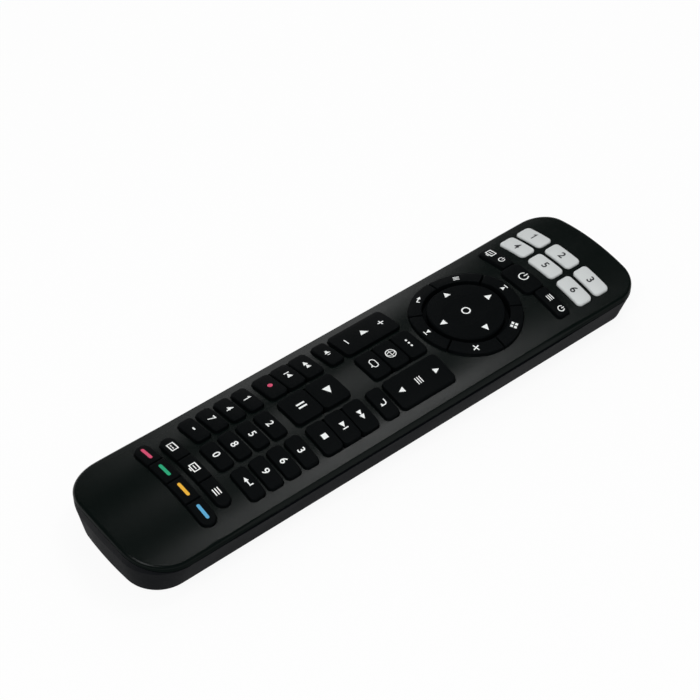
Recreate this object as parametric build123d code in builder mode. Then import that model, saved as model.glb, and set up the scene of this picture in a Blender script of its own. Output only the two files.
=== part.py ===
"""Handheld remote control for a soundbar: slim two-part case, fifty keys, battery door that slides off.

Frame: the remote lies on its back. Z = 0 is its flat underside, +Y points to the infrared end, +X to its right
side, and the origin is under the middle of the case. All sizes are in millimetres.
"""
from build123d import *
from math import degrees, radians, sin
import os

os.makedirs("parts", exist_ok=True)

# Case outline
case_width = 55.0
case_length = 223.2
tail_corner_radius = 16.0
head_corner_radius = 11.0
tail_bow = 2.0            # how far the tail edge bulges at the middle
head_bow = 0.4
edge_radius = 1.3         # rolled edge round the face

# Case section
face_height = 19.0        # top of the face on the centre line
face_drop = 4.381         # the face is arched: it falls this much from its middle to each long side
belt_height = 12.2        # the case is widest here
side_draft = 3.8          # how far each long side leans in below the belt
tail_draft = 1.5
head_draft = 3.0
foot_radius = 1.6         # rounded edge of the underside
plate_thickness = 1.6     # face wall
rim_wall = 1.8            # side wall of the top case
tub_wall = 2.0            # side wall of the bottom case
floor_thickness = 1.6

# Joint between the two case halves
rim_depth = 2.1           # height of the top case's wall along the sides
rim_end_depth = 1.5       # the same at the two ends, where the line rises
rim_lift_run = 27.6       # the line starts to rise this far from each end
seam_height = 0.35        # open line between the halves
seam_depth = 0.6
lap_cover = 0.9           # thickness of the face over the bottom case's locating rib
lap_wall = 0.7
lap_clearance = 0.1

# Keys
key_proud = 1.3           # key tops stand this far above the face
key_travel = 0.8
key_gap = 0.25            # gap between a key and its opening
shared_gap = 0.45         # gap between keys that share an opening
key_underside = 14.9
tab_reach = 0.6           # lip that holds a key under the face
tab_clearance = 0.05
tab_inset = 1.0           # lips end this far from a key's corners
tab_setback = 10.0        # no lip sits nearer the case's side than this, where the face dips too low
plunger_size = 3.2
stop_gap = 0.05           # left between a fully pressed key and the board

column_pitch = case_width * 0.2791
column_web = 2.1          # strip of face left between columns
row_web = 1.4             # strip of face left between rows of number keys
row_pitch = case_length / 29.76
key_width = column_pitch - column_web
number_length = row_pitch - row_web
number_row = -5.333 * row_pitch    # first row of the number keys
middle_drop = 1.55        # the middle column sits this much nearer the tail
number_corner = 1.7
block_corner = 1.9
block_length = 3.133 * row_pitch   # transport blocks
block_row = -2.973 * row_pitch
block_drop = 0.3
rocker_length = 3.24 * row_pitch
rocker_row = 1.6 * row_pitch
rocker_tilt = 3.0
rocker_pivot_height = 16.6
rocker_ear = 0.8          # half-length of the ears that a rocker turns on
rocker_press_arm = 8.2
small_row = -0.613 * row_pitch     # mute and return keys
white_web = 2.05          # between the columns of source keys
white_row_web = 1.55      # between their two rows
white_proud = 0.6         # the source keys are lower than the others
white_row = 11.573 * row_pitch     # lower row of source keys
white_pitch = 1.14 * row_pitch
white_width = column_pitch - white_web
white_length = white_pitch - white_row_web
white_corner = 1.8
power_row = 9.973 * row_pitch
power_width = column_pitch
power_length = 1.173 * row_pitch
power_corner = 2.4
beside_power_row = 10.12 * row_pitch
beside_power_width = 0.912 * column_pitch
beside_power_length = 0.76 * row_pitch
beside_power_corner = 1.4
beside_power_gap = 0.5
strip_row = -9.747 * row_pitch
strip_length = 5.6
end_flat = 0.01           # the slots' ends are this much short of full half circles
strip_half_width = 1.2 * column_pitch
colour_row = -10.853 * row_pitch
colour_length = 6.0
colour_half_width = 1.4 * column_pitch

# Round cursor pad
nav_row = 6.32 * row_pitch
ring_outer = 2.787 * row_pitch
ring_width = 4.8
ring_inner = ring_outer - ring_width
ring_split = 0.6          # gap between ring keys
ring_tab_angle = 24.0     # each ring key's lip spans this much to both sides of its middle
channel_width = 1.8       # dark channel between the disc and the ring
disc_radius = ring_inner - channel_width
disc_dish = 0.5           # the disc is hollowed this deep at its middle
disc_dish_radius = 10.5
disc_edge = 0.45
disc_travel = 0.6
skirt_gap = 0.3
skirt_radius = ring_inner - skirt_gap     # low skirt of the disc, the floor of the channel
skirt_top = 16.4
arrow_radius = 11.0       # feet under the arrows
foot_side = 2.4
stem_radius = 3.0
stem_gap = 0.3
stem_slot = 1.0
hook_reach = 0.8          # the stem's hooks reach this far under the board
hook_height = 1.6
hook_taper = 20.0
slot_stop = 0.2           # the stem's slots end this far below the disc

# Board and key mat
board_side_gap = 3.7      # from the case's side to the board
board_head_gap = 6.1
board_tail_gap = 23.6
board_underside = 12.5
board_thickness = 0.8
board_corner = 4.0
mat_margin = 0.9          # the mat is smaller than the board by this much all round
mat_thickness = 0.6
mat_hole_gap = 0.35
board_top = board_underside + board_thickness
mat_top = board_top + mat_thickness
chip_side = 9.0
chip_height = 1.5
chip_row = 14.0
crystal_length = 10.5
crystal_width = 4.4
crystal_height = 3.4
capacitor_radius = 2.5
capacitor_length = 9.0
capacitor_sink = 0.1
led_radius = 2.5
led_length = 6.4
led_spacing = 9.0
led_height = 9.4
led_setback = 4.5         # from the head end to the emitters' tips
led_tip_radius = 1.3
led_flange_radius = 2.9
led_flange = 1.0
leg_pitch = 2.54
leg_width = 0.5
leg_reach = 2.0

# Infrared window in the head end
window_width = 22.0
window_height = 6.0
window_level = 9.2
window_corner = 1.4
window_lip = 0.9
window_lip_thickness = 0.8
window_clearance = 0.05

# Battery bay and its door
cell_diameter = 10.5
cell_length = 44.5
cell_nub_radius = 1.9
cell_nub_length = 0.9
cell_spacing = 11.1
bay_side_gap = 0.35
bay_end_wall = 4.4        # from the tail end to the bay
bay_rib = 2.0
bay_end_rib = 1.2
plate_contact = 0.4
spring_length = 3.0
spring_wide = 3.6
spring_narrow = 2.4
contact_width = 8.0
contact_height = 8.0
door_thickness = 1.2
cell_lift = 0.2           # gap between the cells and the door
bay_top = 12.2
tab_width = 2.0
door_gap = 0.1            # running gap all round the door
tongue_reach = 1.1        # the door's side tongues run in grooves
tongue_thickness = 0.8
lip_thickness = 0.65      # floor left below each groove
grip_lines = 4
grip_pitch = 2.0
grip_width = 14.0
grip_setback = 7.1        # from the head end of the bay to the first grip line
grip_depth = 0.4
grip_thickness = 0.8

# Posts in the bottom case that carry the board
post_side = 3.0
post_side_gap = 8.5       # from the case's side to the middle of a post
post_tail_gap = 31.6
post_head_gap = 19.6
hold_down_gap = 4.15      # ribs under the face that press on the bare edge of the board
hold_down_width = 0.8

half_width = case_width / 2
half_length = case_length / 2
rim_lift_start = half_length - rim_lift_run
tab_limit = half_width - tab_setback
board_half_width = half_width - board_side_gap
board_head = half_length - board_head_gap
board_tail = board_tail_gap - half_length
led_tip = half_length - led_setback
bay_tail = bay_end_wall - half_length
post_column = half_width - post_side_gap
hold_down_column = half_width - hold_down_gap
post_rows = (post_tail_gap - half_length, number_row, 0.0, 6 * row_pitch, half_length - post_head_gap)
crown_radius = (half_width**2 + face_drop**2) / (2 * face_drop)
crown_centre = face_height - crown_radius
tall = 60.0               # cutting solids reach past the case by this much


def case_outline(height, inset=0.0, sides=0.0, tail=0.0, head=0.0):
    """Plan of the case at one height: bowed ends, straight sides and round corners.

    inset shrinks it all round; sides, tail and head draw in those edges alone.
    """
    half = half_width - inset - sides
    tail_y = -half_length + inset + tail
    head_y = half_length - inset - head
    with BuildSketch(Plane.XY.offset(height)) as plan:
        with BuildLine():
            ThreePointArc((-half, tail_y + tail_bow), (0, tail_y), (half, tail_y + tail_bow))
            Line((half, tail_y + tail_bow), (half, head_y - head_bow))
            ThreePointArc((half, head_y - head_bow), (0, head_y), (-half, head_y - head_bow))
            Line((-half, head_y - head_bow), (-half, tail_y + tail_bow))
        make_face()
        corners = plan.vertices().sort_by(Axis.Y)
        fillet(corners[:2], tail_corner_radius - inset - (sides + tail) / 2)
        fillet(plan.vertices().sort_by(Axis.Y)[-2:], head_corner_radius - inset - (sides + head) / 2)
    return plan.sketch


def crown(rise):
    """Everything below the arched face, raised by rise: a wide cylinder along Y."""
    barrel = Cylinder(crown_radius + rise, case_length + tall, mode=Mode.PRIVATE)
    return Pos(0, 0, crown_centre) * Rot(90, 0, 0) * barrel


def case_solid(inset, drop, foot):
    """Solid case under the crown, shrunk by inset at its sides and by drop at its face."""
    with BuildPart() as shell:
        low = case_outline(foot, inset, side_draft, tail_draft, head_draft)
        high = case_outline(belt_height, inset)
        loft([low, high], ruled=True)
        extrude(high, amount=face_height)
        add(crown(-drop), mode=Mode.INTERSECT)
    return shell


def seam_zone(drop):
    """Everything below the line where the case halves meet, lowered by drop."""
    radius = crown_radius - rim_depth - drop
    rise = rim_depth - rim_end_depth
    run = half_length - rim_lift_start
    lift_radius = (run**2 + rise**2) / (2 * rise)
    with BuildPart() as zone:
        for side in (-1, 1):
            with BuildSketch(Plane.XZ.offset(-side * rim_lift_start)) as section:
                with Locations((0, crown_centre)):
                    Circle(radius)
                with Locations((0, face_height / 2)):
                    Rectangle(case_width + tall / 4, 2 * face_height, mode=Mode.INTERSECT)
            lift_axis = Axis((0, side * rim_lift_start, crown_centre + radius + lift_radius), (side, 0, 0))
            revolve(section.sketch, lift_axis, revolution_arc=degrees(1.2 * run / lift_radius))
            if side < 0:
                extrude(section.sketch, amount=2 * rim_lift_start, dir=(0, 1, 0))
    return zone.part


def write(piece, name):
    """Label one finished piece and save it."""
    piece.part.label = name
    export_step(piece.part, f"parts/{name}.step")


# Outer form of the whole case, which both halves, the door and the window are cut from
outer = case_solid(0, 0, 0)
with BuildPart() as case_form:
    add(outer.part)
    underside = case_form.faces().filter_by(Axis.Z).sort_by(Axis.Z)[0]
    fillet(underside.edges(), foot_radius)
    face_edges = case_form.faces().sort_by(Axis.Z)[-1].edges()
    fillet(face_edges, edge_radius)

lower_zone = seam_zone(0)
seam_floor_zone = seam_zone(seam_height)

# Openings and keys are listed together, so each opening follows its key
plungers = []             # (x, y, size along x, size along y) of each plunger
openings = []             # (x, y, width, length, corner radius) of each opening in the face


def plunger_spots(x, y, spots, size):
    """Note each plunger for the mat's holes and give back where they stand."""
    places = [(x + dx, y + dy) for dx, dy in spots]
    plungers.extend((px, py, size, size) for px, py in places)
    return places


def key_tabs(x, y, width, length, sides):
    """Lips that keep a key under the face: 'x' towards the centre line, 'y' at both ends, 'ear' on a rocker."""
    with BuildPart() as tabs:
        with BuildSketch(Plane.XY.offset(key_underside)):
            if sides == "y":
                outer_edge = min(abs(x) + width / 2 - tab_inset, tab_limit)
                inner_edge = abs(x) - width / 2 + tab_inset
                middle = (outer_edge + inner_edge) / 2 * (1 if x >= 0 else -1)
                with Locations((middle, y)):
                    Rectangle(outer_edge - inner_edge, length + 2 * tab_reach)
            else:
                lip_length = 2 * rocker_ear if sides == "ear" else length - 2 * tab_inset
                shift = -tab_reach / 2 if x > 0 else tab_reach / 2 if x < 0 else 0
                lip_width = width + (tab_reach if x else 2 * tab_reach)
                with Locations((x + shift, y)):
                    Rectangle(lip_width, lip_length)
        extrude(amount=tall / 6)
        add(crown(-plate_thickness - tab_clearance), mode=Mode.INTERSECT)
    return tabs.part


def make_key(name, x, y, width, length, corner, sides="x", spots=((0, 0),), press=key_travel,
             proud=key_proud):
    """One key: a rounded cap that follows the arch of the face, its lips and its plungers."""
    tabs = key_tabs(x, y, width, length, sides)
    with BuildPart() as key:
        with BuildSketch(Plane.XY.offset(key_underside)):
            with Locations((x, y)):
                RectangleRounded(width, length, corner)
        extrude(amount=tall / 6)
        add(crown(proud), mode=Mode.INTERSECT)
        add(tabs)
        with BuildSketch(Plane.XY.offset(board_top + press + stop_gap)):
            with Locations(*plunger_spots(x, y, spots, plunger_size)):
                Rectangle(plunger_size, plunger_size)
        extrude(amount=key_underside - board_top - press - stop_gap)
    write(key, name)


def key_stack(names, x, y, width, length, corner, proud=key_proud):
    """Keys one behind the other, head end first, in one shared opening."""
    openings.append((x, y, width + 2 * key_gap, length + 2 * key_gap, corner + key_gap))
    count = len(names)
    each = (length - (count - 1) * shared_gap) / count
    for index, name in enumerate(names):
        row = y + length / 2 - each / 2 - index * (each + shared_gap)
        make_key(name, x, row, width, each, corner, proud=proud)


def key_strip(names, y, half, length):
    """Keys side by side in one slot with round ends."""
    round_end = length / 2
    openings.append((0, y, 2 * (half + key_gap), length + 2 * key_gap, round_end + key_gap - end_flat))
    count = len(names)
    each = (2 * half - (count - 1) * shared_gap) / count
    for index, name in enumerate(names):
        x = -half + each / 2 + index * (each + shared_gap)
        tabs = key_tabs(x, y, each, length, "y")
        with BuildPart() as key:
            with BuildSketch(Plane.XY.offset(key_underside)):
                with Locations((0, y)):
                    SlotOverall(2 * half, length)
                with Locations((x, y)):
                    Rectangle(each, length, mode=Mode.INTERSECT)
            extrude(amount=tall / 6)
            add(crown(key_proud), mode=Mode.INTERSECT)
            add(tabs)
            with BuildSketch(Plane.XY.offset(board_top + key_travel + stop_gap)):
                with Locations(*plunger_spots(x, y, ((0, 0),), plunger_size)):
                    Rectangle(plunger_size, plunger_size)
            extrude(amount=key_underside - board_top - key_travel - stop_gap)
        write(key, name)


# White source keys in two rows
source_names = (("source_key_4", "source_key_5", "source_key_6"),
                ("source_key_1", "source_key_2", "source_key_3"))
for row, names in enumerate(source_names):
    for column, name in zip((-1, 0, 1), names):
        key_stack((name,), column * column_pitch, white_row + row * white_pitch, white_width, white_length,
                  white_corner, white_proud)

# Power key with a small key on each side, all in one stepped opening
openings.append((0, power_row, power_width + 2 * key_gap, power_length + 2 * key_gap, power_corner + key_gap))
make_key("power_key", 0, power_row, power_width, power_length, power_corner, "y")
beside_power = (power_width + beside_power_width) / 2 + beside_power_gap
openings.append((0, beside_power_row, 2 * beside_power + beside_power_width + 2 * key_gap,
                 beside_power_length + 2 * key_gap, beside_power_corner + key_gap))
for side, name in ((-1, "input_key"), (1, "source_power_key")):
    make_key(name, side * beside_power, beside_power_row, beside_power_width, beside_power_length,
             beside_power_corner, "y")

# Rockers, the three keys between them and the two small keys below
for side, name in ((-1, "volume_rocker"), (1, "channel_rocker")):
    openings.append((side * column_pitch, rocker_row, key_width + 2 * key_gap, rocker_length + 2 * key_gap,
                     block_corner + key_gap))
    end_press = rocker_press_arm * sin(radians(rocker_tilt)) + plunger_size / 2 * sin(radians(rocker_tilt))
    make_key(name, side * column_pitch, rocker_row, key_width, rocker_length, block_corner, "ear",
             ((0, -rocker_press_arm), (0, rocker_press_arm)), end_press)
key_stack(("option_key_upper", "option_key_middle", "option_key_lower"), 0, rocker_row, key_width,
          rocker_length, block_corner)
for side, name in ((-1, "mute_key"), (1, "return_key")):
    key_stack((name,), side * column_pitch, small_row, key_width, number_length, number_corner)

# Transport keys
key_stack(("rewind_key", "skip_back_key", "record_key"), -column_pitch, block_row, key_width, block_length,
          block_corner)
key_stack(("play_key", "pause_key"), 0, block_row - block_drop, key_width, block_length, block_corner)
key_stack(("fast_forward_key", "skip_forward_key", "stop_key"), column_pitch, block_row, key_width,
          block_length, block_corner)

# Number keys
number_names = (("key_1", "key_2", "key_3"), ("key_4", "key_5", "key_6"), ("key_7", "key_8", "key_9"),
                ("key_dash", "key_0", "key_enter"))
for row, names in enumerate(number_names):
    for column, name in zip((-1, 0, 1), names):
        y = number_row - row * row_pitch - (middle_drop if column == 0 else 0)
        key_stack((name,), column * column_pitch, y, key_width, number_length, number_corner)

# Two long slots near the tail
key_strip(("caption_key", "display_key", "list_key"), strip_row, strip_half_width, strip_length)
key_strip(("red_key", "green_key", "yellow_key", "blue_key"), colour_row, colour_half_width, colour_length)

# Six ring keys round the cursor disc
ring_names = ("ring_key_top", "ring_key_upper_left", "ring_key_lower_left", "ring_key_bottom")
ring_mirrors = {"ring_key_upper_left": "ring_key_upper_right", "ring_key_lower_left": "ring_key_lower_right"}
ring_middle = (ring_outer + ring_inner) / 2


def keep_sector(heading, half_angle, setback):
    """Cut the sketch in hand to one sector of the cursor pad, drawn in by setback on both straight sides."""
    tip = Vector(0, nav_row) + Vector(setback / sin(radians(half_angle)), 0).rotate(Axis.Z, heading)
    with BuildLine() as wedge:
        Polyline(tip, tip + Vector(2 * ring_outer, 0).rotate(Axis.Z, heading - half_angle),
                 tip + Vector(2 * ring_outer, 0).rotate(Axis.Z, heading + half_angle), close=True)
    make_face(wedge.edges(), mode=Mode.INTERSECT)


for index, name in enumerate(ring_names):
    heading = 90 + 60 * index
    with BuildPart() as ring_tab:
        with BuildSketch(Plane.XY.offset(key_underside)):
            with Locations((0, nav_row)):
                Circle(ring_outer + tab_reach)
                Circle(ring_middle, mode=Mode.SUBTRACT)
            keep_sector(heading, ring_tab_angle, 0)
            with Locations((0, nav_row)):
                Rectangle(2 * tab_limit, 4 * ring_outer, mode=Mode.INTERSECT)
        extrude(amount=tall / 6)
        add(crown(-plate_thickness - tab_clearance), mode=Mode.INTERSECT)
    spot = Vector(0, nav_row) + Vector(ring_middle, 0).rotate(Axis.Z, heading)
    with BuildPart() as ring_key:
        with BuildSketch(Plane.XY.offset(key_underside)):
            with Locations((0, nav_row)):
                Circle(ring_outer)
                Circle(ring_inner, mode=Mode.SUBTRACT)
            keep_sector(heading, 30, ring_split / 2)
        extrude(amount=tall / 6)
        add(crown(key_proud), mode=Mode.INTERSECT)
        add(ring_tab.part)
        with BuildSketch(Plane.XY.offset(board_top + key_travel + stop_gap)):
            with Locations(*plunger_spots(spot.X, spot.Y, ((0, 0),), plunger_size)):
                Rectangle(plunger_size, plunger_size)
        extrude(amount=key_underside - board_top - key_travel - stop_gap)
    write(ring_key, name)
    if name in ring_mirrors:
        with BuildPart() as opposite_key:
            add(mirror(ring_key.part, about=Plane.YZ))
        plungers.append((-spot.X, spot.Y, plunger_size, plunger_size))
        write(opposite_key, ring_mirrors[name])

# Cursor disc: dished top, a low skirt that fills the channel, four feet and a stem that clips under the board
disc_feet = [(arrow_radius, 0), (0, arrow_radius), (-arrow_radius, 0), (0, -arrow_radius)]
foot_end = board_top + disc_travel + stop_gap
hook_top = board_underside - tab_clearance
with BuildPart() as nav_disc:
    with BuildSketch(Plane.XY.offset(skirt_top)):
        with Locations((0, nav_row)):
            Circle(disc_radius)
    extrude(amount=tall / 6)
    add(crown(key_proud), mode=Mode.INTERSECT)
    chamfer(nav_disc.faces().sort_by(Axis.Z)[-1].edges(), disc_edge)
    dish_ball = (disc_dish_radius**2 + disc_dish**2) / (2 * disc_dish)
    with Locations((0, nav_row, face_height + key_proud - disc_dish + dish_ball)):
        Sphere(dish_ball, mode=Mode.SUBTRACT)
    with BuildSketch(Plane.XY.offset(key_underside)):
        with Locations((0, nav_row)):
            Circle(skirt_radius)
    extrude(amount=skirt_top - key_underside)
    with BuildSketch(Plane.XY.offset(foot_end)):
        with Locations(*plunger_spots(0, nav_row, disc_feet, foot_side)):
            Rectangle(foot_side, foot_side)
    extrude(amount=key_underside - foot_end)
    with BuildSketch(Plane.XY.offset(hook_top - hook_height)):
        with Locations((0, nav_row)):
            Circle(stem_radius)
    extrude(amount=key_underside - hook_top + hook_height)
    with BuildSketch(Plane.XY.offset(hook_top)):
        with Locations((0, nav_row)):
            Circle(stem_radius + hook_reach)
    extrude(amount=-hook_height, taper=hook_taper)
    with BuildSketch(Plane.XY.offset(hook_top - hook_height)):
        with Locations((0, nav_row)):
            Rectangle(stem_slot, 4 * stem_radius)
            Rectangle(4 * stem_radius, stem_slot)
    extrude(amount=key_underside - hook_top + hook_height - slot_stop, mode=Mode.SUBTRACT)
write(nav_disc, "nav_disc")

# Top case: the arched face with every opening, and a shallow rim that the bottom case's rib reaches up into
lap_inset = rim_wall + lap_clearance + lap_wall + lap_clearance
with BuildPart() as top_case:
    add(case_form.part)
    add(lower_zone, mode=Mode.SUBTRACT)
    add(case_solid(lap_inset, plate_thickness, 0).part, mode=Mode.SUBTRACT)
    lap_space = case_solid(rim_wall, lap_cover, 0).part - case_solid(lap_inset, -key_proud, 0).part
    add(lap_space, mode=Mode.SUBTRACT)
    with BuildSketch(Plane.XY.offset(belt_height)):
        for x, y, width, length, corner in openings:
            with Locations((x, y)):
                RectangleRounded(width, length, corner)
        with Locations((0, nav_row)):
            Circle(ring_outer + key_gap)
    extrude(amount=face_height, mode=Mode.SUBTRACT)
    with BuildSketch(Plane.XY.offset(board_top)):
        with Locations(*[(side * hold_down_column, row) for side in (-1, 1) for row in post_rows]):
            Rectangle(hold_down_width, post_side)
    extrude(until=Until.NEXT)
write(top_case, "top_case")

# Bottom case: tub with floor, battery bay, board posts and the rib that locates the top case
bay_half = cell_spacing / 2 + cell_diameter / 2 + bay_side_gap
bay_head = bay_tail + 2 * plate_contact + spring_length + cell_length
groove_half = bay_half + tongue_reach
groove_top = lip_thickness + tongue_thickness + 2 * door_gap
tub_inset = rim_wall + lap_clearance + lap_wall
window_plan = (window_width + 2 * window_clearance, window_height + 2 * window_clearance)
with BuildPart() as bottom_case:
    add(case_form.part)
    add(seam_floor_zone, mode=Mode.INTERSECT)
    add(case_solid(seam_depth, 0, floor_thickness).part & lower_zone)
    add(case_solid(rim_wall + lap_clearance, lap_cover + lap_clearance, floor_thickness).part)
    add(case_solid(tub_inset, 0, floor_thickness).part, mode=Mode.SUBTRACT)
    with BuildSketch(Plane.XY.offset(floor_thickness)):
        with Locations((0, (bay_tail + bay_head) / 2)):
            Rectangle(2 * (bay_half + bay_rib), bay_head - bay_tail + 2 * bay_end_rib)
            Rectangle(2 * bay_half, bay_head - bay_tail, mode=Mode.SUBTRACT)
        with Locations(*[(side * post_column, row) for side in (-1, 1) for row in post_rows]):
            Rectangle(post_side, post_side)
    extrude(amount=bay_top - floor_thickness)
    with BuildSketch(Plane.XY.offset(bay_top)):
        with Locations(*[(side * post_column, row) for side in (-1, 1) for row in post_rows]):
            Rectangle(post_side, post_side)
    extrude(amount=board_underside - bay_top)
    with BuildSketch(Plane.XY):
        with Locations((0, bay_head)):
            Rectangle(2 * bay_half, case_length, align=(Align.CENTER, Align.MAX))
    extrude(amount=groove_top, mode=Mode.SUBTRACT)
    with BuildSketch(Plane.XY.offset(lip_thickness)):
        with Locations((0, bay_head)):
            Rectangle(2 * groove_half, case_length, align=(Align.CENTER, Align.MAX))
    extrude(amount=groove_top - lip_thickness, mode=Mode.SUBTRACT)
    with BuildSketch(Plane.XZ.offset(-half_length + tall / 4)):
        with Locations((0, window_level)):
            RectangleRounded(*window_plan, window_corner + window_clearance)
    extrude(amount=-tall / 2, mode=Mode.SUBTRACT)
write(bottom_case, "bottom_case")

# Infrared window: a plug in the head wall with a lip behind it
with BuildPart() as window_lip_form:
    with BuildSketch(Plane.XZ.offset(-half_length + tall / 4)):
        with Locations((0, window_level)):
            RectangleRounded(window_width + 2 * window_lip, window_height + 2 * window_lip, window_corner)
    extrude(amount=-tall / 2)
    add(case_solid(tub_inset, 0, floor_thickness).part, mode=Mode.INTERSECT)
with BuildPart() as ir_window:
    with BuildSketch(Plane.XZ.offset(-half_length + tall / 4)):
        with Locations((0, window_level)):
            RectangleRounded(window_width, window_height, window_corner)
    extrude(amount=-tall / 2)
    add(case_form.part, mode=Mode.INTERSECT)
    add(window_lip_form.part)
    add(case_solid(tub_inset + window_lip_thickness, -key_proud, 0).part, mode=Mode.SUBTRACT)
write(ir_window, "ir_window")

# Battery door: part of the underside, with a tongue along each side and grip lines
door_half = bay_half - door_gap
tongue_inner = door_half - tongue_reach
tail_block = bay_tail + plate_contact
with BuildPart() as battery_door:
    with BuildSketch(Plane.XY):
        with Locations((0, bay_head - door_gap)):
            Rectangle(2 * door_half, case_length, align=(Align.CENTER, Align.MAX))
    extrude(amount=door_thickness)
    with BuildSketch(Plane.XY.offset(lip_thickness + door_gap)):
        for side in (-1, 1):
            with Locations((side * (tongue_inner + tongue_reach), bay_head - door_gap)):
                Rectangle(2 * tongue_reach, case_length, align=(Align.CENTER, Align.MAX))
    extrude(amount=tongue_thickness)
    with BuildSketch(Plane.XY):
        with Locations((0, tail_block)):
            Rectangle(2 * door_half, case_length, align=(Align.CENTER, Align.MAX))
    extrude(amount=groove_top - door_gap)
    add(case_form.part, mode=Mode.INTERSECT)
    with BuildSketch(Plane.XY):
        for index in range(grip_lines):
            with Locations((0, bay_head - grip_setback - index * grip_pitch)):
                Rectangle(grip_width, grip_thickness)
    extrude(amount=grip_depth, mode=Mode.SUBTRACT)
write(battery_door, "battery_door")

# Circuit board with the parts that hang under it
board_length = board_head - board_tail
board_middle = (board_head + board_tail) / 2
with BuildPart() as circuit_board:
    with BuildSketch(Plane.XY.offset(board_underside)):
        with Locations((0, board_middle)):
            RectangleRounded(2 * board_half_width, board_length, board_corner)
        with Locations((0, nav_row)):
            Circle(stem_radius + stem_gap, mode=Mode.SUBTRACT)
    extrude(amount=board_thickness)
    with Locations((0, chip_row, board_underside)):
        Box(chip_side, chip_side, chip_height, align=(Align.CENTER, Align.CENTER, Align.MAX))
    with Locations((chip_side + crystal_width, chip_row, board_underside)):
        Box(crystal_width, crystal_length, crystal_height, align=(Align.CENTER, Align.CENTER, Align.MAX))
    capacitor_axis = board_underside - capacitor_radius + capacitor_sink
    with Locations((-chip_side - crystal_width, chip_row, capacitor_axis)):
        Cylinder(capacitor_radius, capacitor_length, rotation=(90, 0, 0))
write(circuit_board, "circuit_board")

# Key mat: one sheet of rubber over the board with a hole for each plunger
with BuildPart() as keypad_mat:
    with BuildSketch(Plane.XY.offset(board_top)):
        with Locations((0, board_middle)):
            RectangleRounded(2 * (board_half_width - mat_margin), board_length - 2 * mat_margin, board_corner)
        for x, y, size_x, size_y in plungers:
            with Locations((x, y)):
                Rectangle(size_x + 2 * mat_hole_gap, size_y + 2 * mat_hole_gap, mode=Mode.SUBTRACT)
        with Locations((0, nav_row)):
            Circle(stem_radius + stem_gap, mode=Mode.SUBTRACT)
    extrude(amount=mat_thickness)
write(keypad_mat, "keypad_mat")

# Two infrared emitters behind the window, their legs bent up to the board
with BuildPart() as ir_emitters:
    for side in (-1, 1):
        with Locations(Location((side * led_spacing / 2, led_tip - led_radius, led_height), (90, 0, 0))):
            Cylinder(led_radius, led_length - led_radius, align=(Align.CENTER, Align.CENTER, Align.MIN))
            Cone(led_tip_radius, led_radius, led_radius, align=(Align.CENTER, Align.CENTER, Align.MAX))
        with Locations(Location((side * led_spacing / 2, led_tip - led_length, led_height), (-90, 0, 0))):
            Cylinder(led_flange_radius, led_flange, align=(Align.CENTER, Align.CENTER, Align.MIN))
        for leg in (-1, 1):
            leg_x = side * led_spacing / 2 + leg * leg_pitch / 2
            with Locations((leg_x, led_tip - led_length, led_height)):
                Box(leg_width, leg_reach, leg_width, align=(Align.CENTER, Align.MAX, Align.CENTER))
            with Locations((leg_x, led_tip - led_length - leg_reach + leg_width, led_height - leg_width / 2)):
                Box(leg_width, leg_width, board_underside - led_height + leg_width / 2,
                    align=(Align.CENTER, Align.MAX, Align.MIN))
write(ir_emitters, "ir_emitters")

# Two cells side by side, one turned end for end
cell_height = door_thickness + cell_lift + cell_diameter / 2
cell_starts = ((-1, bay_tail + plate_contact + spring_length, 1),
               (1, bay_head - plate_contact - spring_length, -1))
with BuildPart() as battery_cells:
    for side, flat_end, direction in cell_starts:
        with Locations(Location((side * cell_spacing / 2, flat_end, cell_height), (-90 * direction, 0, 0))):
            Cylinder(cell_diameter / 2, cell_length - cell_nub_length,
                     align=(Align.CENTER, Align.CENTER, Align.MIN))
            Cylinder(cell_nub_radius, cell_length, align=(Align.CENTER, Align.CENTER, Align.MIN))
write(battery_cells, "battery_cells")


def coil(x, y, direction):
    """Tapered contact spring, as the solid cone that its wire fills between its plate and a cell."""
    with BuildPart() as spring:
        with Locations(Location((x, y, cell_height), (-90 * direction, 0, 0))):
            Cone(spring_wide, spring_narrow, spring_length, align=(Align.CENTER, Align.CENTER, Align.MIN))
    return spring.part


def plate(x, y, direction, width):
    """Sheet contact standing against an end wall of the bay."""
    with BuildPart() as sheet:
        with Locations((x, y, cell_height)):
            Box(width, plate_contact, contact_height,
                align=(Align.CENTER, Align.MIN if direction > 0 else Align.MAX, Align.CENTER))
    return sheet.part


# Contact at the tail end joins both cells
with BuildPart() as contact_bridge:
    add(plate(0, bay_tail, 1, cell_spacing + contact_width))
    add(coil(-cell_spacing / 2, bay_tail + plate_contact, 1))
write(contact_bridge, "contact_bridge")

# Contacts at the head end, each with a tab up to the board
with BuildPart() as contact_pair:
    for side in (-1, 1):
        add(plate(side * cell_spacing / 2, bay_head, -1, contact_width))
        with Locations((side * cell_spacing / 2, bay_head, cell_height)):
            Box(tab_width, plate_contact, board_underside - cell_height,
                align=(Align.CENTER, Align.MAX, Align.MIN))
    add(coil(cell_spacing / 2, bay_head - plate_contact, -1))
write(contact_pair, "contact_pair")
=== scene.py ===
"""Looks of the soundbar remote control: plastics, rounded key tops, printed marks and studio light.

Lengths are in metres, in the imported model's frame. The remote lies on its back, and +Y points to its
infrared end. Printed shapes and the places of keys are written in millimetres.
"""

from math import cos, pi, radians, sin, sqrt

import bmesh
import bpy
from mathutils import Matrix, Vector


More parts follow.
